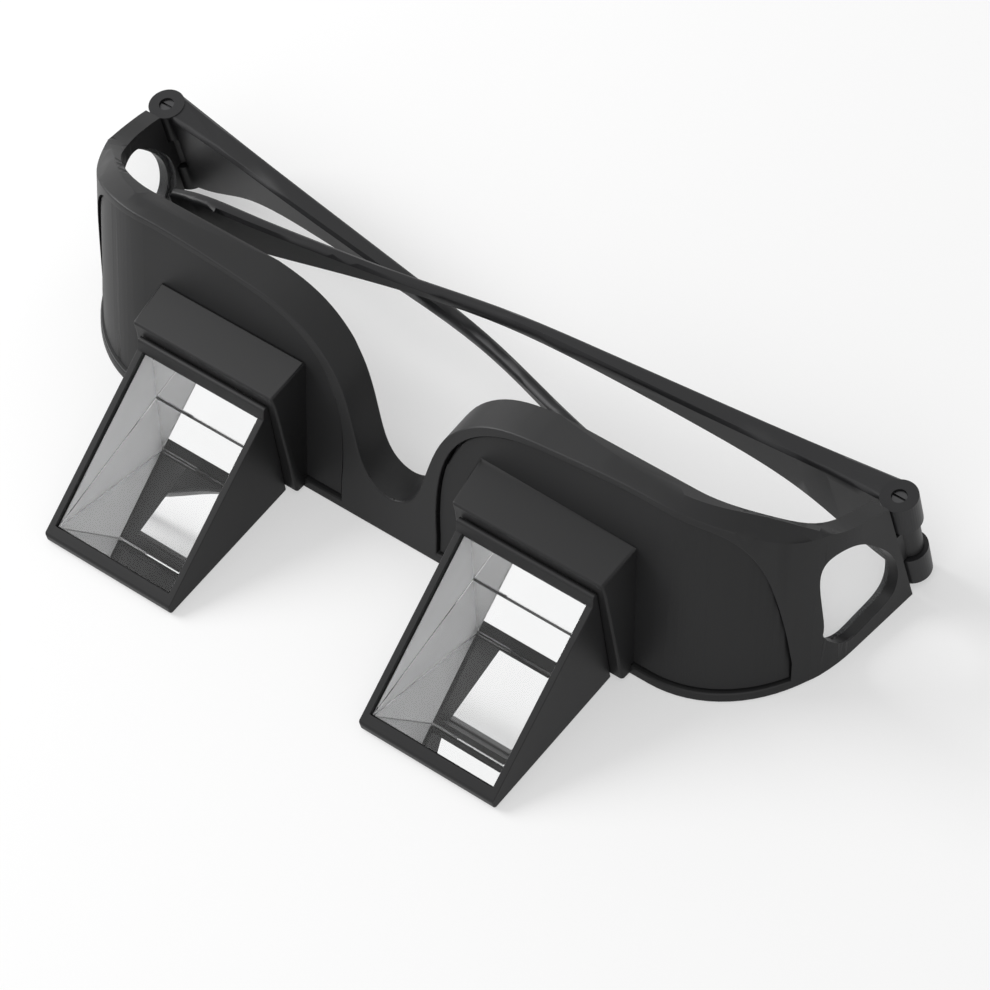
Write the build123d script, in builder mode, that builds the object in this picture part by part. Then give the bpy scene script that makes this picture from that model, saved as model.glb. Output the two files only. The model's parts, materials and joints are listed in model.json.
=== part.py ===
from build123d import *
import os
from math import atan2, cos, degrees, hypot, radians, sin, tan

# Prism bed glasses, lying folded on a table with the nose notch up.
# X runs across the face, -Y is the way the prisms look, +Z is up off the table.
# The origin is on the table, at the middle of the footprint.

# Driving sizes of the whole, in millimetres
pupil_distance = 64.0
half_width = 74.8
arm_reach = 33.1
crown_height = 31.8
crown_rake = 19.3
corner_radius = 22.0
corner_turn = 83.0
overrun = 60.0
cut_play = 0.05

# The front frame
arm_end_height = 20.4
notch_floor = 6.6
rim_depth = 5.6
arm_thickness = 3.0
rim_ledge = 1.5
lip_height = 1.8

# The lens plates in the front frame
plate_thickness = 1.8
plate_sink = 0.5
plate_gap = 0.06
groove_width = 0.35

# The right-angle prisms
glass_set_back = 0.5
glass_half_width = 11.7
mirror_leg = 27.5
eye_leg = 15.3
glass_chamfer = 0.3

# The wedge cases that hold them
case_floor = 1.6
case_wall = 1.2
case_lip = 1.8
window_rim = 0.6
bar_depth = 1.6
bar_rise = 1.4
glass_gap = 0.1
mirror_thickness = 0.25
mirror_gap = 0.05

# The neck and hood that join a case to its lens plate
hood_height = 20.5
hood_rise = 2.0
hood_gap = 0.1
neck_half_width = 14.1
neck_spread = 1.0
neck_floor = 0.6
neck_rake = 2.2
neck_room = 13.0
eye_half_width = 11.0
eye_sill = 3.0
eye_head = 16.5

# The side windows in the arms
side_lens_thickness = 1.2
side_lens_ledge = 0.7
side_lens_gap = 0.08

# The hinges
pin_inset = 1.4
barrel_radius = 2.9
knuckle_height = 18.0
knuckle_foot = 1.4
lug_height = 6.2
lug_radius = 2.2
lug_web = 2.3
lug_root = 0.4
hinge_gap = 0.3
screw_radius = 0.8
screw_play = 0.06
screw_seat_play = 0.02
screw_head_radius = 1.15
screw_head_height = 0.8
screw_sink = 0.35
screw_slot = 0.35
axis_lean = 1.55

# The temples
temple_tip_gap = 14.0
temple_thickness = 3.6
temple_chamfer = 0.5
left_tip_room = 16.45
right_tip_room = 22.41

case_length = case_lip + mirror_leg
footprint_depth = case_length - glass_set_back + arm_reach + hinge_gap + barrel_radius * 2
case_tip_y = -footprint_depth / 2
brow_y = case_tip_y + case_length - glass_set_back
arm_end_y = brow_y + arm_reach
pin_y = arm_end_y + hinge_gap + barrel_radius
wrap_share = 1.2024
wrap_depth = arm_reach * wrap_share
hinge_middle = knuckle_foot + knuckle_height / 2
turn = radians(corner_turn)
rake = radians(crown_rake)
corner_x = half_width - corner_radius * sin(turn) - (wrap_depth - corner_radius * (1 - cos(turn))) / tan(turn)

# Front view of the frame's upper edge, from the notch outwards, as shares of half_width and crown_height
frame_top_shares = [
    (0.047, 0.245), (0.092, 0.440), (0.138, 0.692), (0.234, 0.881), (0.401, 0.963), (0.638, 1.0), (0.822, 0.937),
    (0.936, 0.786), (1.016, 0.723),
]
# Side view of the same edge, from the front back along the arm, as shares of wrap_depth and crown_height
arm_top_shares = [
    (-0.131, 1.321), (0.296, 1.035), (0.472, 0.905), (0.598, 0.765), (0.774, 0.672),
]
# Front view of a lens plate, from its lower inner corner round the top to the lower outer corner
plate_shares = [
    (0.132, 0.145), (0.131, 0.396), (0.164, 0.657), (0.217, 0.789), (0.306, 0.884), (0.488, 0.940), (0.638, 0.959),
    (0.747, 0.937), (0.807, 0.893), (0.846, 0.802), (0.885, 0.563), (0.909, 0.226), (0.913, 0.145),
]
# Side view of the edge where a lens plate ends, from the table up, as shares of wrap_depth and crown_height
plate_end_shares = [(0.360, 0.0), (0.470, 1.0)]
# Side view of a side window, as shares of wrap_depth and crown_height
side_window_shares = [
    (0.432, 0.230), (0.475, 0.469), (0.545, 0.630), (0.640, 0.620), (0.740, 0.487), (0.800, 0.270), (0.755, 0.120),
    (0.620, 0.085), (0.480, 0.105),
]
# A temple from its hinge to its tip, as shares: length, height, middle height, thickness, inward curve
temple_shares = [
    (0.004, 1.00, 0.000, 1.30, 0.00), (0.050, 0.88, 0.040, 1.15, 0.00), (0.130, 0.53, 0.185, 1.00, 0.00),
    (0.260, 0.27, 0.290, 0.88, 0.00), (0.415, 0.17, 0.322, 0.68, 0.00), (0.554, 0.13, 0.336, 0.56, 0.12),
    (0.692, 0.16, 0.375, 0.53, 0.75), (0.800, 0.29, 0.375, 0.55, 1.18), (0.880, 0.40, 0.338, 0.58, 1.36),
    (0.960, 0.42, 0.325, 0.58, 1.46), (1.000, 0.26, 0.328, 0.50, 1.50),
]


def both_sides(points):
    """The points of a line that starts at the middle, with its mirror image ahead of it."""
    return [(-x, y) for x, y in reversed(points[1:])] + points


def shifted(points, shifts, closed=False):
    """The points of a line, each moved to the left of its direction by its own shift."""
    count = len(points)
    moved = []
    for i, (x, y) in enumerate(points):
        ahead = points[(i + 1) % count if closed else min(i + 1, count - 1)]
        behind = points[i - 1 if closed else max(i - 1, 0)]
        dx = ahead[0] - behind[0]
        dy = ahead[1] - behind[1]
        size = hypot(dx, dy)
        moved.append((x - dy / size * shifts[i], y + dx / size * shifts[i]))
    return moved


def even(depth):
    return depth, depth


def plan_line(side, depths):
    """Points of one half of the front face's line, square to the rake: arm end, arc end, arc middle, arc start."""
    front, arm = depths
    radius = corner_radius - front
    centre_x = corner_x + (front - arm) / sin(turn)
    arc = [(centre_x + radius * sin(share * turn), front + radius * (1 - cos(share * turn))) for share in (1, 0.5, 0)]
    points = [(arc[0][0] + (wrap_depth - arc[0][1]) / tan(turn), wrap_depth)] + arc
    return [(side * x, y) for x, y in points]


def wrap(near, far, mode=Mode.ADD):
    """A band that wraps round the face and rakes back as it rises, between two depths behind the front face."""
    raked = Plane(origin=(0, brow_y, 0), x_dir=(1, 0, 0), z_dir=(0, sin(rake), cos(rake)))
    with BuildSketch(raked) as section:
        with BuildLine():
            for depths in (near, far):
                for side in (-1, 1):
                    end, arc_end, arc_middle, arc_start = plan_line(side, depths)
                    Line(end, arc_end)
                    ThreePointArc(arc_end, arc_middle, arc_start)
                Line(plan_line(-1, depths)[-1], plan_line(1, depths)[-1])
            for side in (-1, 1):
                Line(plan_line(side, near)[0], plan_line(side, far)[0])
        make_face()
    extrude(section.sketch, amount=overrun, both=True, mode=mode)


def arm_face(y, height):
    """How far out the arm's outer face is, at a depth and a height."""
    past_corner = (y - brow_y) * cos(rake) - height * sin(rake) - corner_radius * (1 - cos(turn))
    return corner_x + corner_radius * sin(turn) + past_corner / tan(turn)


def plate_face(side, grow):
    """A lens plate's outline in the front view, grown by the amount given."""
    points = shifted([(x * half_width, z * crown_height) for x, z in plate_shares], [grow for _ in plate_shares])
    points = [(side * x, z) for x, z in points]
    with BuildLine() as rim_line:
        Spline(*points)
        Polyline(points[-1], (points[-1][0], lip_height - grow), (points[0][0], lip_height - grow), points[0])
    make_face(rim_line.edges())


def plate_end_cut(grow):
    """Cuts off what reaches back along the arms past the end of the lens plates."""
    (low, foot), (high, head) = plate_end_shares
    with BuildSketch(Plane.YZ) as beyond:
        with BuildLine():
            Polyline((brow_y + low * wrap_depth + grow, foot * crown_height - cut_play),
                     (brow_y + high * wrap_depth + grow, head * crown_height + cut_play),
                     (brow_y + wrap_depth + overrun, head * crown_height + cut_play),
                     (brow_y + wrap_depth + overrun, foot * crown_height - cut_play), close=True)
        make_face()
    extrude(beyond.sketch, amount=half_width + overrun, both=True, mode=Mode.SUBTRACT)


def side_window_face(grow):
    """A side window's outline in the side view, grown by the amount given."""
    points = shifted([(brow_y + y * wrap_depth, z * crown_height) for y, z in side_window_shares],
                     [grow for _ in side_window_shares], closed=True)
    with BuildLine() as window_line:
        Spline(*points, periodic=True)
    make_face(window_line.edges())


# Hinge frames: the origin at the pin, z up the leaning pin, x along the temple as it lies folded
lean = radians(axis_lean)
pin_x = arm_face(arm_end_y, hinge_middle) - pin_inset
temple_length = pin_x * 2 - temple_tip_gap
left_fold = degrees(atan2(arm_reach - left_tip_room, temple_length))
right_fold = degrees(atan2(arm_reach - right_tip_room, temple_length))


def hinge_frame(side, fold):
    flat = Plane(origin=(side * pin_x, pin_y, hinge_middle), x_dir=(-side * cos(lean), 0, side * sin(lean)),
                 z_dir=(sin(lean), 0, cos(lean)))
    return flat.rotated((0, 0, side * fold))


def raised(frame, height):
    return Plane(origin=frame.origin + frame.z_dir * height, x_dir=frame.x_dir, z_dir=frame.z_dir)


seat_depth = plate_sink + plate_thickness

# Room for the lens plates in the rims, open to the front
with BuildPart() as plate_seats:
    wrap(even(-rim_depth), even(seat_depth + plate_gap))
    with BuildSketch(Plane.XZ):
        for side in (-1, 1):
            plate_face(side, groove_width)
    extrude(amount=overrun, both=True, mode=Mode.INTERSECT)
    plate_end_cut(groove_width)

# Room for the side lenses, open to the inside of the arms
with BuildPart() as side_seats:
    wrap(even(arm_thickness - side_lens_thickness - side_lens_gap), even(arm_thickness + rim_depth))
    with BuildSketch(Plane.YZ):
        side_window_face(side_lens_ledge + side_lens_gap)
    extrude(amount=half_width + overrun, both=True, mode=Mode.INTERSECT)

# Front frame: rims, brow edge, bridge, both arms and the hinge lugs in one moulding
with BuildPart() as front_frame:
    wrap(even(0), (rim_depth, arm_thickness))
    with BuildSketch(Plane.XZ):
        top = both_sides([(0, notch_floor)] + [(x * half_width, z * crown_height) for x, z in frame_top_shares])
        with BuildLine():
            Spline(*top)
            Polyline(top[-1], (top[-1][0], 0), (top[0][0], 0), top[0])
        make_face()
    extrude(amount=overrun, both=True, mode=Mode.INTERSECT)
    with BuildSketch(Plane.YZ):
        crest = [(brow_y + y * wrap_depth, z * crown_height) for y, z in arm_top_shares]
        crest.append((arm_end_y, arm_end_height))
        with BuildLine():
            Spline(*crest)
            Polyline(crest[-1], (crest[-1][0], 0), (crest[0][0], 0), crest[0])
        make_face()
    extrude(amount=half_width + overrun, both=True, mode=Mode.INTERSECT)
    with BuildSketch(Plane.XZ):
        for side in (-1, 1):
            plate_face(side, -rim_ledge)
    extrude(amount=overrun, both=True, mode=Mode.SUBTRACT)
    add(plate_seats.part, mode=Mode.SUBTRACT)
    with BuildSketch(Plane.YZ):
        side_window_face(0)
    extrude(amount=half_width + overrun, both=True, mode=Mode.SUBTRACT)
    add(side_seats.part, mode=Mode.SUBTRACT)
    for side in (-1, 1):
        pin_frame = hinge_frame(side, 0)
        with BuildSketch(raised(pin_frame, -lug_height / 2)):
            Circle(lug_radius)
            with Locations((0, side * (barrel_radius + hinge_gap + lug_root) / 2)):
                Rectangle(lug_web, barrel_radius + hinge_gap + lug_root)
        extrude(amount=lug_height)
        with Locations(raised(pin_frame, 0)):
            Cylinder(screw_radius + screw_seat_play, lug_height + overrun, mode=Mode.SUBTRACT)

# Prism profile in the side view: the right angle at the back, the thin edge at the case's tip
window_slope = atan2(eye_leg, mirror_leg)
glass_foot = case_floor + mirror_thickness + mirror_gap
glass_front = case_tip_y + case_lip
glass_back = glass_front + mirror_leg
glass_top = glass_foot + eye_leg
prism_x = pupil_distance / 2


def window_height(y, clear):
    """Height of the sloping window at a depth, with a clearance square to it."""
    return glass_foot + (y - glass_front) * eye_leg / mirror_leg + clear / cos(window_slope)


with BuildPart() as glass:
    with BuildSketch(Plane.YZ):
        with BuildLine():
            Polyline((glass_front, glass_foot), (glass_back, glass_foot), (glass_back, glass_top), close=True)
        make_face()
    extrude(amount=glass_half_width, both=True)
    chamfer(glass.edges().filter_by(Axis.X), length=glass_chamfer)

with BuildPart() as glass_mirror:
    with BuildSketch(Plane.XY.offset(case_floor)):
        with Locations((0, (glass_front + glass_back) / 2)):
            Rectangle((glass_half_width - glass_chamfer) * 2, mirror_leg - glass_chamfer * 2)
    extrude(amount=mirror_thickness)

# Prism case: floor, walls, tip lip and the bar over the window's upper edge, open to the window and to the back
case_half_width = glass_half_width + glass_gap + case_wall
case_back = glass_back - glass_gap * 2
bar_front = case_back - bar_depth
bar_top = glass_top + bar_rise
with BuildPart() as case:
    with BuildSketch(Plane.YZ):
        with BuildLine():
            Polyline((case_tip_y, 0), (case_tip_y, window_height(case_tip_y, window_rim)),
                     (bar_front, window_height(bar_front, window_rim)), (bar_front + window_rim, bar_top),
                     (case_back, bar_top), (case_back - neck_rake, 0), close=True)
        make_face()
    extrude(amount=case_half_width, both=True)
    with BuildSketch(Plane.YZ):
        with BuildLine():
            Polyline((glass_front - glass_gap, case_floor), (glass_front - glass_gap, bar_top + overrun),
                     (bar_front, bar_top + overrun), (bar_front, window_height(bar_front, glass_gap)),
                     (glass_back + overrun, window_height(glass_back + overrun, glass_gap)),
                     (glass_back + overrun, case_floor), close=True)
        make_face()
    extrude(amount=glass_half_width + glass_gap, both=True, mode=Mode.SUBTRACT)

# Room for the frame's lower lip under the plates
with BuildPart() as lip_room:
    wrap(even(-plate_gap), even(rim_depth + cut_play))
    with BuildSketch(Plane.XY):
        Rectangle((half_width + overrun) * 2, (half_width + overrun) * 2)
    extrude(amount=lip_height + plate_gap, mode=Mode.INTERSECT)

# Lens plate with its neck and hood, made on the right and mirrored
neck_front = case_back + hood_gap
with BuildPart() as neck:
    for y, lift, widen in ((neck_front - neck_rake, 0, 0), (glass_back + neck_room, hood_rise, neck_spread)):
        with BuildSketch(Plane.XZ.offset(-y)):
            with BuildLine():
                Polyline((prism_x - neck_half_width - widen, hood_height + lift),
                         (prism_x + neck_half_width + widen, hood_height + lift),
                         (prism_x + neck_half_width + neck_spread + widen, neck_floor),
                         (prism_x - neck_half_width - neck_spread - widen, neck_floor), close=True)
            make_face()
    loft(ruled=True)
    wrap(even(-neck_room), even(seat_depth), mode=Mode.INTERSECT)
    with BuildSketch(Plane.YZ):
        with BuildLine():
            Polyline((neck_front - neck_rake - overrun, -overrun), (neck_front - neck_rake, 0),
                     (neck_front, bar_top), (neck_front, crown_height + overrun),
                     (neck_front - neck_rake - overrun, crown_height + overrun), close=True)
        make_face()
    extrude(amount=half_width + overrun, both=True, mode=Mode.SUBTRACT)
    add(lip_room.part, mode=Mode.SUBTRACT)

with BuildPart() as right_lens_plate:
    wrap(even(plate_sink), even(seat_depth))
    with BuildSketch(Plane.XZ):
        plate_face(1, -plate_gap)
    extrude(amount=overrun, both=True, mode=Mode.INTERSECT)
    plate_end_cut(-plate_gap)
    add(neck.part)
    with BuildSketch(Plane.YZ.offset(prism_x - glass_half_width - glass_gap)):
        with BuildLine():
            Polyline((neck_front - neck_rake - overrun, case_floor - hood_gap),
                     (neck_front - neck_rake - overrun, window_height(glass_back, glass_gap)),
                     (glass_back + glass_gap, window_height(glass_back, glass_gap)),
                     (glass_back + glass_gap, case_floor - hood_gap), close=True)
        make_face()
    extrude(amount=(glass_half_width + glass_gap) * 2, mode=Mode.SUBTRACT)
    with BuildSketch(Plane.XZ):
        with Locations((prism_x, (eye_sill + eye_head) / 2)):
            Rectangle(eye_half_width * 2, eye_head - eye_sill)
    extrude(amount=overrun, both=True, mode=Mode.SUBTRACT)

# Side lens on the right
with BuildPart() as right_side_lens:
    wrap(even(arm_thickness - side_lens_thickness), even(arm_thickness))
    with BuildSketch(Plane.YZ):
        side_window_face(side_lens_ledge)
    extrude(amount=half_width + overrun, mode=Mode.INTERSECT)

def temple(side, fold):
    """A temple cut by its side outline and its plan outline, with its two knuckles, in the hinge frame of its side."""
    frame = hinge_frame(side, fold)
    side_view = Plane(origin=frame.origin, x_dir=frame.x_dir, z_dir=frame.x_dir.cross(frame.z_dir))
    upper, lower, outer, inner = [], [], [], []
    for run, height, middle, thickness, inward in temple_shares:
        x = run * temple_length
        upper.append((x, (middle + height / 2) * knuckle_height))
        lower.append((x, (middle - height / 2) * knuckle_height))
        outer.append((x, -side * (barrel_radius - inward * temple_thickness)))
        inner.append((x, -side * (barrel_radius - (inward + thickness) * temple_thickness)))
    for view, near, far in ((side_view, upper, lower), (frame, outer, inner)):
        with BuildSketch(view) as outline:
            with BuildLine():
                Spline(*near)
                Line(near[-1], far[-1])
                Spline(*far)
                Line(far[0], near[0])
            make_face()
        extrude(outline.sketch, amount=overrun, both=True, mode=Mode.ADD if view is side_view else Mode.INTERSECT)
    along = [edge for edge in edges() if edge.length > temple_thickness * 2 and
             abs((edge @ 1 - edge @ 0).normalized().dot(frame.x_dir)) > abs((edge @ 1 - edge @ 0).normalized().dot(frame.z_dir))]
    chamfer(along, length=temple_chamfer)
    with Locations(frame):
        Cylinder(barrel_radius, knuckle_height)
        Cylinder(barrel_radius + hinge_gap, lug_height + hinge_gap * 2, mode=Mode.SUBTRACT)
        Cylinder(screw_radius + screw_play, knuckle_height + overrun, mode=Mode.SUBTRACT)
    with Locations(raised(frame, knuckle_height / 2 - screw_sink - screw_head_height - hinge_gap / 2)):
        Cylinder(screw_head_radius + screw_play, overrun, align=(Align.CENTER, Align.CENTER, Align.MIN),
                 mode=Mode.SUBTRACT)


with BuildPart() as right_temple:
    temple(1, right_fold)

with BuildPart() as left_temple:
    temple(-1, left_fold)


def hinge_screw(side):
    """A slotted screw that is the hinge pin, seated in the frame's lug."""
    frame = hinge_frame(side, 0)
    head_top = knuckle_height / 2 - screw_sink
    with Locations(frame):
        Cylinder(screw_radius, knuckle_height - screw_sink * 2)
    with Locations(raised(frame, head_top)):
        Cylinder(screw_head_radius, screw_head_height, align=(Align.CENTER, Align.CENTER, Align.MAX))
        Box(screw_head_radius * 2 + overrun, screw_slot, screw_head_height, mode=Mode.SUBTRACT)


with BuildPart() as right_hinge_screw:
    hinge_screw(1)

with BuildPart() as left_hinge_screw:
    hinge_screw(-1)

with BuildPart() as left_lens_plate:
    mirror(right_lens_plate.part, about=Plane.YZ)

with BuildPart() as left_side_lens:
    mirror(right_side_lens.part, about=Plane.YZ)

pieces = {
    "front_frame": front_frame,
    "left_lens_plate": left_lens_plate,
    "right_lens_plate": right_lens_plate,
    "left_side_lens": left_side_lens,
    "right_side_lens": right_side_lens,
    "left_temple": left_temple,
    "right_temple": right_temple,
    "left_hinge_screw": left_hinge_screw,
    "right_hinge_screw": right_hinge_screw,
}

# The prism stacks are the same on both sides
for side, hand in ((-1, "left"), (1, "right")):
    for name, centred in (("prism_case", case), ("prism", glass), ("prism_mirror", glass_mirror)):
        with BuildPart() as placed:
            with Locations((side * prism_x, 0, 0)):
                add(centred.part)
        pieces[hand + "_" + name] = placed

os.makedirs("parts", exist_ok=True)
for name, piece in pieces.items():
    piece.part.label = name
    export_step(piece.part, "parts/" + name + ".step")
    box = piece.part.bounding_box()
    print(name, len(piece.part.solids()), round(piece.part.volume), [round(v, 2) for v in (*box.min, *box.max)])
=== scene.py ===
import json
from math import cos, radians, sin
import bpy
from mathutils import Matrix, Vector

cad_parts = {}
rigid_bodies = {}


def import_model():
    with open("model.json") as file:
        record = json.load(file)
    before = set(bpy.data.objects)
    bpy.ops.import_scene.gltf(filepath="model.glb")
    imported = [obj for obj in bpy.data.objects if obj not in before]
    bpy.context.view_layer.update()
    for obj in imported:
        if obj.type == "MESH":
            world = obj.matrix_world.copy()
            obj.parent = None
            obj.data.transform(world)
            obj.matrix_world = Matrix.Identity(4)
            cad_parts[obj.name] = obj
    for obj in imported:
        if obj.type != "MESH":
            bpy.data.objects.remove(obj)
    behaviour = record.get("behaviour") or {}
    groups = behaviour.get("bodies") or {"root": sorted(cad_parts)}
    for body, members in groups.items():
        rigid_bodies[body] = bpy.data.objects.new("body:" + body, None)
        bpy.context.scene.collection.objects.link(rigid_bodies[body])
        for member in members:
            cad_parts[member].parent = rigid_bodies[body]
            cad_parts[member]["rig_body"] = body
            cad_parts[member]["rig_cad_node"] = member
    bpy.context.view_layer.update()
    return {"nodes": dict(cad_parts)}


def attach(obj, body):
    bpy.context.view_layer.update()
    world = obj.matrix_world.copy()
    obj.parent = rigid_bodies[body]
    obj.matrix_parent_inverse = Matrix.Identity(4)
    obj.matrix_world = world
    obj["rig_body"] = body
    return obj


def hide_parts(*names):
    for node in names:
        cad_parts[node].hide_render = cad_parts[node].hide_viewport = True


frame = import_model()
print("frame loaded:", len(frame["nodes"]), "nodes")


# Shader maths: a wrapped socket that takes + and * with numbers or other sockets
class Sock:
    def __init__(self, tree, socket):
        self.tree, self.socket = tree, socket

    def node(self, kind, settings=None, **inputs):  # any node, its settings first, then its sockets
        n = self.tree.nodes.new(kind)
        for key, value in (settings or {}).items():
            setattr(n, key, value)
        for key, value in inputs.items():
            place = int(key[1:]) if key[0] == "i" and key[1:].isdigit() else key.replace("_", " ")
            if isinstance(value, Sock):
                self.tree.links.new(value.socket, n.inputs[place])
            else:
                n.inputs[place].default_value = value
        return n

    def out(self, kind, settings=None, at=0, **inputs):
        return Sock(self.tree, self.node(kind, settings, **inputs).outputs[at])

    def maths(self, operation, a, b=0.0, clamp=False):
        return self.out("ShaderNodeMath", {"operation": operation, "use_clamp": clamp}, i0=a, i1=b)

    def __add__(self, other): return self.maths("ADD", self, other)
    def __radd__(self, other): return self.maths("ADD", other, self)
    def __mul__(self, other): return self.maths("MULTIPLY", self, other)
    def __rmul__(self, other): return self.maths("MULTIPLY", other, self)

    def clamped(self): return self.maths("ADD", self, 0.0, clamp=True)


def newMaterial(name, **fixed):  # a Principled material, its fixed sockets set by name
    mat = bpy.data.materials.new(name)
    mat.use_nodes = True
    shader = mat.node_tree.nodes["Principled BSDF"]
    for key, value in fixed.items():
        shader.inputs[key.replace("_", " ")].default_value = value
    start = Sock(mat.node_tree, mat.node_tree.nodes.new("ShaderNodeTexCoord").outputs["Object"])
    return mat, shader, start


def feed(sock, shader, name):
    sock.tree.links.new(sock.socket, shader.inputs[name])


def blendColours(start, mask, dark, light):
    return start.out("ShaderNodeMix", {"data_type": "RGBA"}, at=2, i0=mask, i6=(*dark, 1), i7=(*light, 1))


# Satin black moulded plastic: fine grain, faint clouding and a little handling sheen
plastic = {"grainSize": 0.00035, "grainHeight": 0.00001, "cloudSize": 0.02, "smudgeSize": 0.009,
           "smudgeShare": 0.6, "cloudShare": 0.4}


def satinPlastic(name, dark, light, roughLow, roughHigh):
    mat, shader, place = newMaterial(name, IOR=1.48, Specular_IOR_Level=0.27)
    cloud = place.out("ShaderNodeTexNoise", at=0, Vector=place, Scale=1 / plastic["cloudSize"], Detail=3.0)
    smudge = place.out("ShaderNodeTexNoise", at=0, Vector=place, Scale=1 / plastic["smudgeSize"], Detail=5.0)
    grain = place.out("ShaderNodeTexNoise", at=0, Vector=place, Scale=1 / plastic["grainSize"], Detail=2.0)
    feed(blendColours(place, cloud, dark, light), shader, "Base Color")
    wear = smudge * plastic["smudgeShare"] + cloud * plastic["cloudShare"]
    feed((roughLow + (roughHigh - roughLow) * wear).clamped(), shader, "Roughness")
    bump = place.out("ShaderNodeBump", Strength=0.25, Distance=plastic["grainHeight"], Height=grain)
    feed(bump, shader, "Normal")
    return mat


frameBlack = satinPlastic("frameBlack", (0.013, 0.013, 0.0135), (0.018, 0.018, 0.0185), 0.42, 0.46)
plateBlack = satinPlastic("plateBlack", (0.010, 0.010, 0.0105), (0.014, 0.014, 0.0145), 0.46, 0.52)
caseBlack = satinPlastic("caseBlack", (0.010, 0.010, 0.0105), (0.014, 0.014, 0.0145), 0.40, 0.46)
templeBlack = satinPlastic("templeBlack", (0.013, 0.013, 0.014), (0.018, 0.018, 0.019), 0.38, 0.44)

# Optical glass, polished; its sides are ground and its underside silvered
opticalGlass, shader, place = newMaterial("opticalGlass", IOR=1.5, Transmission_Weight=1.0,
                                          Base_Color=(0.99, 0.995, 0.995, 1))
haze = place.out("ShaderNodeTexNoise", at=0, Vector=place, Scale=400.0, Detail=2.0)
feed((haze * 0.006).clamped(), shader, "Roughness")

groundGlass, shader, place = newMaterial("groundGlass", IOR=1.45)
frost = place.out("ShaderNodeTexNoise", at=0, Vector=place, Scale=180.0, Detail=4.0)
feed(blendColours(place, frost, (0.84, 0.84, 0.845), (0.94, 0.94, 0.945)), shader, "Base Color")
feed((0.55 + frost * 0.25).clamped(), shader, "Roughness")

# The sloping edges of the ground sides are painted paler: ground glass with a painted highlight along them
groundEdgePaintedHighlight, shader, place = newMaterial("groundEdgePaintedHighlight", IOR=1.45)
frost = place.out("ShaderNodeTexNoise", at=0, Vector=place, Scale=180.0, Detail=4.0)
feed(blendColours(place, frost, (0.90, 0.90, 0.905), (0.98, 0.98, 0.98)), shader, "Base Color")
feed((0.45 + frost * 0.25).clamped(), shader, "Roughness")

silverMirror, shader, place = newMaterial("silverMirror", Base_Color=(0.96, 0.96, 0.96, 1), Metallic=1.0)
haze = place.out("ShaderNodeTexNoise", at=0, Vector=place, Scale=300.0, Detail=2.0)
feed((haze * 0.01).clamped(), shader, "Roughness")

# Side window plastic, clear with a faint grey haze
sideClear, shader, place = newMaterial("sideClear", IOR=1.49)
haze = place.out("ShaderNodeTexNoise", at=0, Vector=place, Scale=120.0, Detail=3.0)
feed(blendColours(place, haze, (0.50, 0.51, 0.52), (0.60, 0.61, 0.62)), shader, "Base Color")
feed((0.08 + haze * 0.10).clamped(), shader, "Roughness")
feed((0.03 + haze * 0.05).clamped(), shader, "Alpha")

# Turned steel of the hinge screws, near-black: partly the steel's own colour, partly painted shade of the
# holes they sit in
screwSteelAndPaintedShade, shader, place = newMaterial("screwSteelAndPaintedShade", Base_Color=(0.07, 0.07, 0.072, 1), Metallic=1.0)
turning = place.out("ShaderNodeTexNoise", at=0, Vector=place, Scale=2500.0, Detail=2.0)
feed((0.25 + turning * 0.2).clamped(), shader, "Roughness")
print("materials made")


def pick(obj):  # only this object selected and active
    bpy.ops.object.select_all(action="DESELECT")
    obj.select_set(True)
    bpy.context.view_layer.objects.active = obj


# Bevel weight of each sharp edge, chosen by where its two ends are
def weighEdges(mesh, limit, share):
    sides = {}
    for face in mesh.polygons:
        for key in face.edge_keys:
            sides.setdefault(key, []).append(face.normal)
    layer = mesh.attributes.new("bevel_weight_edge", "FLOAT", "EDGE")
    for edge in mesh.edges:
        pair = sides.get(edge.key, ())
        if len(pair) == 2 and pair[0].angle(pair[1]) > radians(limit):
            layer.data[edge.index].value = share(*(mesh.vertices[i].co for i in edge.vertices))


# A merged, edge-rounded copy of a CAD node that stands for it, or for its mirror twin
def dressed(node, name, body, mat, edge=0.0, share=None, limit=35, smooth=35, twin=None):
    pick(frame["nodes"][twin or node])
    bpy.ops.object.duplicate()
    obj = bpy.context.view_layer.objects.active
    obj.parent = None
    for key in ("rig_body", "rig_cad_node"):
        if key in obj:
            del obj[key]
    obj.name = obj.data.name = name
    pick(obj)
    bpy.ops.object.mode_set(mode="EDIT")
    bpy.ops.mesh.select_all(action="SELECT")
    bpy.ops.mesh.remove_doubles(threshold=0.000002)
    bpy.ops.mesh.dissolve_limited(angle_limit=radians(0.4))
    if twin and twin != node:
        bpy.ops.transform.resize(value=(-1, 1, 1), center_override=(0, 0, 0))
        bpy.ops.mesh.flip_normals()
    bpy.ops.object.mode_set(mode="OBJECT")
    obj.data.materials.clear()
    obj.data.materials.append(mat)
    if edge:
        weighEdges(obj.data, limit, share)
        bevel = obj.modifiers.new("softEdges", "BEVEL")
        bevel.width, bevel.segments, bevel.limit_method = edge, 3, "WEIGHT"
        bevel.use_clamp_overlap = False
        bpy.ops.object.modifier_apply(modifier=bevel.name)
    bpy.ops.object.shade_smooth_by_angle(angle=radians(smooth))
    weighted = obj.modifiers.new("evenShading", "WEIGHTED_NORMAL")
    weighted.keep_sharp = True
    bpy.ops.object.modifier_apply(modifier=weighted.name)
    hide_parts(node)
    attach(obj, body)
    return obj


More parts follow.
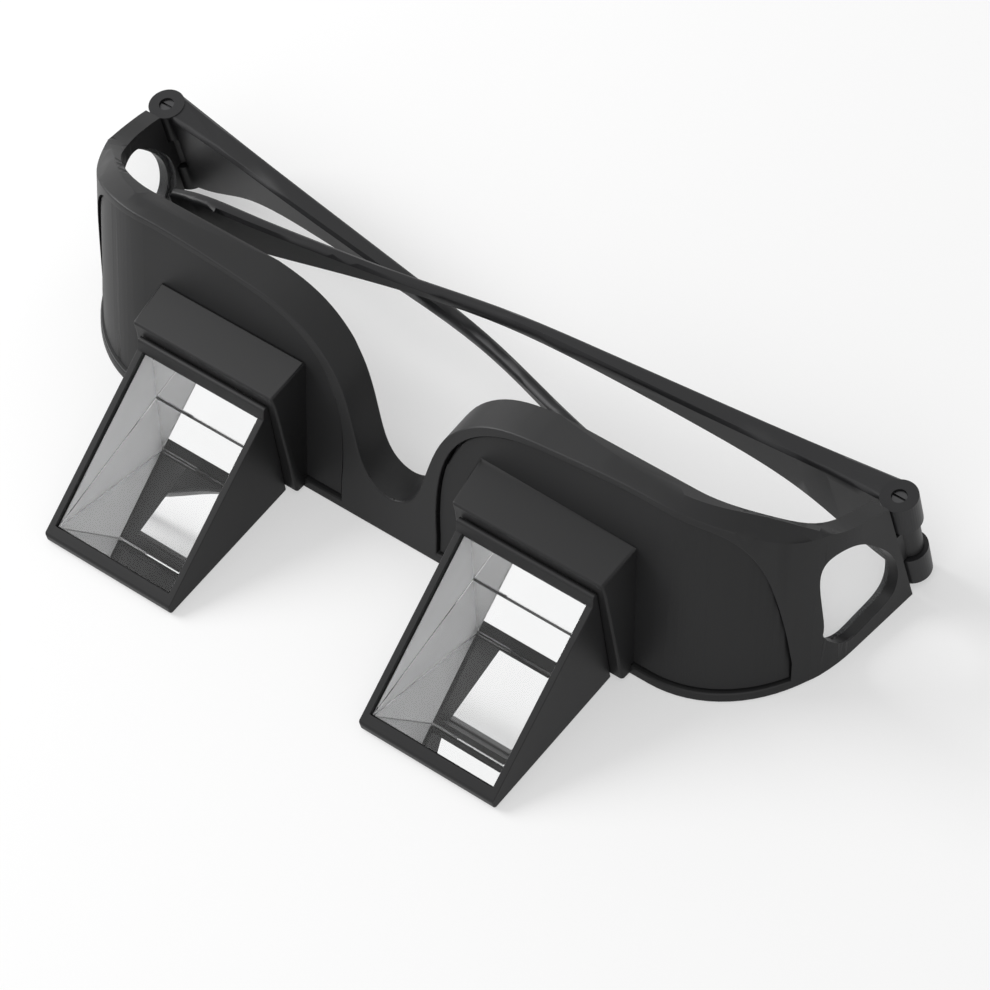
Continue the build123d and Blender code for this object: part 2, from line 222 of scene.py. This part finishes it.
# Widths of the softened edges and where they lie: the hood and the case softest, the arms sharp
softEdges = {"front_frame": 0.00025, "lens_plate": 0.0004, "prism_case": 0.0004, "prism": 0.0003}
rim = {"back": 0.009}
hood = {"innerSide": 0.0182, "outerEnd": 0.0475, "sill": 0.018, "top": 0.0225, "brow": -0.006}
case = {"halfWidth": 0.0128, "centre": 0.032, "across": 0.02, "tip": -0.033, "inner": 0.35}
prism = {"across": 0.001, "shortEdge": 0.005, "baseTop": 0.0035, "baseShare": 0.6}


def rimShare(a, b):
    return 1.0 if max(a.y, b.y) < rim["back"] else 0.0


def hoodShare(a, b):
    halfWidth = case["centre"] - hood["innerSide"]
    outer = [abs(abs(p.x) - case["centre"]) > halfWidth and abs(p.x) < hood["outerEnd"]
             and (hood["sill"] < p.z < hood["top"] or p.y < hood["brow"]) for p in (a, b)]
    return 1.0 if all(outer) else 0.0


def caseShare(a, b):
    outer = all(abs(abs(p.x) - case["centre"]) > case["halfWidth"] for p in (a, b))
    ends = abs(a.x - b.x) > case["across"] or max(a.y, b.y) < case["tip"]
    return 1.0 if outer and ends else case["inner"]


def glassShare(a, b):  # the long edges of a ground side: sloping by the window, level by the silvering
    if abs(a.x - b.x) > prism["across"] or abs(a.y - b.y) < prism["shortEdge"]:
        return 0.0
    return prism["baseShare"] if max(a.z, b.z) < prism["baseTop"] else 1.0


# Faces of the glass are told apart by how far they face sideways or down
facing = {"square": 0.9, "softened": 0.3}
dressed("front_frame", "frameMoulding", "front", frameBlack,
        softEdges["front_frame"], rimShare, smooth=24)
for side in ("left", "right"):
    glass = dressed(side + "_prism", side + "Glass", "front", opticalGlass,
                    softEdges["prism"], glassShare, limit=20, smooth=20)
    for mat in (groundGlass, silverMirror, groundEdgePaintedHighlight, caseBlack):
        glass.data.materials.append(mat)
    for face in glass.data.polygons:
        if abs(face.normal.x) > facing["square"]:
            face.material_index = 1
        elif face.normal.z < -facing["square"]:
            face.material_index = 2
        elif abs(face.normal.x) > facing["softened"]:
            # Upper sloping chamfers take the paler ground glass with its painted highlight, lower ones the
            # black case plastic
            face.material_index = 3 if face.normal.z > 0 else 4
    dressed(side + "_lens_plate", side + "Plate", "front", plateBlack,
            softEdges["lens_plate"], hoodShare, limit=50, twin="right_lens_plate")
    dressed(side + "_prism_case", side + "Case", "front", caseBlack,
            softEdges["prism_case"], caseShare, twin="right_prism_case")
    dressed(side + "_temple", side + "Temple", side + "_temple", templeBlack)
    for node, mat in ((side + "_prism_mirror", silverMirror), (side + "_side_lens", sideClear),
                      (side + "_hinge_screw", screwSteelAndPaintedShade), (side + "_lens_plate", plateBlack),
                      (side + "_prism_case", caseBlack), (side + "_temple", templeBlack)):
        obj = frame["nodes"][node]
        obj.data.materials.clear()
        obj.data.materials.append(mat)
obj = frame["nodes"]["front_frame"]
obj.data.materials.clear()
obj.data.materials.append(frameBlack)
print("pieces dressed")

# The table the glasses lie on
studio = {"floorSize": 6.0, "floorTone": 0.97, "floorGlow": 0.42, "floorDrop": 0.0001, "worldLight": 0.52}
bpy.ops.object.select_all(action="DESELECT")
bpy.ops.mesh.primitive_plane_add(size=studio["floorSize"], location=(0, 0, -studio["floorDrop"]))
floor = bpy.context.view_layer.objects.active
floor.name = "studioTable"
floorMat = bpy.data.materials.new("studioTable")
floorMat.use_nodes = True
tree = floorMat.node_tree
tree.nodes.clear()
start = Sock(tree, None)
rays = start.node("ShaderNodeLightPath")
tone = studio["floorTone"]
matte = start.node("ShaderNodeBsdfDiffuse", Color=(tone, tone, tone, 1))
glow = start.node("ShaderNodeEmission", Color=(1, 1, 1, 1), Strength=1.0)
seen = (Sock(tree, rays.outputs["Is Camera Ray"]) + Sock(tree, rays.outputs["Is Glossy Ray"])
        + Sock(tree, rays.outputs["Is Transmission Ray"])).clamped()
mix = start.node("ShaderNodeMixShader", i0=seen * studio["floorGlow"])
tree.links.new(matte.outputs[0], mix.inputs[1])
tree.links.new(glow.outputs[0], mix.inputs[2])
end = tree.nodes.new("ShaderNodeOutputMaterial")
tree.links.new(mix.outputs[0], end.inputs[0])
floor.data.materials.append(floorMat)

# White studio all round: seen at strength 1, and dimmer as light on the object
world = bpy.data.worlds.new("studio")
bpy.context.scene.world = world
world.use_nodes = True
tree = world.node_tree
tree.nodes.clear()
start = Sock(tree, None)
rays = start.node("ShaderNodeLightPath")
seen = (Sock(tree, rays.outputs["Is Camera Ray"]) + Sock(tree, rays.outputs["Is Glossy Ray"])
        + Sock(tree, rays.outputs["Is Transmission Ray"])).clamped()
light = studio["worldLight"]
back = start.node("ShaderNodeBackground", Color=(1, 1, 1, 1), Strength=seen * (1 - light) + light)
end = tree.nodes.new("ShaderNodeOutputWorld")
tree.links.new(back.outputs[0], end.inputs[0])


def softbox(name, place, size, power):  # aimed at the middle of the glasses' underside
    data = bpy.data.lights.new(name, "AREA")
    data.shape, data.size, data.energy = "DISK", size, power
    lamp = bpy.data.objects.new(name, data)
    bpy.context.scene.collection.objects.link(lamp)
    lamp.location = place
    lamp.rotation_mode = "QUATERNION"
    lamp.rotation_quaternion = (-Vector(place)).to_track_quat("-Z", "Y")


softbox("keySoftbox", place=(-0.7, -0.08, 0.48), size=0.5, power=5.5)
softbox("fillSoftbox", place=(0.3, -0.6, 0.5), size=0.8, power=1.2)
print("studio built")

# The camera stands where the photograph was taken from, fitted to points of the object
cameraFit = {"azimuth": 0.948502, "elevation": 0.908685, "roll": -0.320625, "distance": 0.80032,
             "focalPixels": 5334.5, "pixels": 990, "sensor": 36.0,
             "right": 0.009887, "up": -0.003427, "shiftY": 0.0036}
az, el, roll = cameraFit["azimuth"], cameraFit["elevation"], cameraFit["roll"]
away = Vector((sin(az) * cos(el), -cos(az) * cos(el), sin(el)))
flatRight = (-away).cross(Vector((0, 0, 1))).normalized()
flatUp = flatRight.cross(-away)
camRight = cos(roll) * flatRight + sin(roll) * flatUp
camUp = -sin(roll) * flatRight + cos(roll) * flatUp
data = bpy.data.cameras.new("photoCamera")
data.sensor_width = cameraFit["sensor"]
data.lens = cameraFit["focalPixels"] / cameraFit["pixels"] * cameraFit["sensor"]
data.clip_start, data.clip_end = 0.05, 20
camera = bpy.data.objects.new("photoCamera", data)
bpy.context.scene.collection.objects.link(camera)
target = cameraFit["right"] * flatRight + cameraFit["up"] * flatUp + Vector((0, cameraFit["shiftY"], 0))
camera.location = target + cameraFit["distance"] * away
camera.rotation_mode = "QUATERNION"
camera.rotation_quaternion = Matrix((camRight, camUp, away)).transposed().to_quaternion()
bpy.context.scene.camera = camera
bpy.context.scene.view_settings.view_transform = "Standard"
print("camera placed")
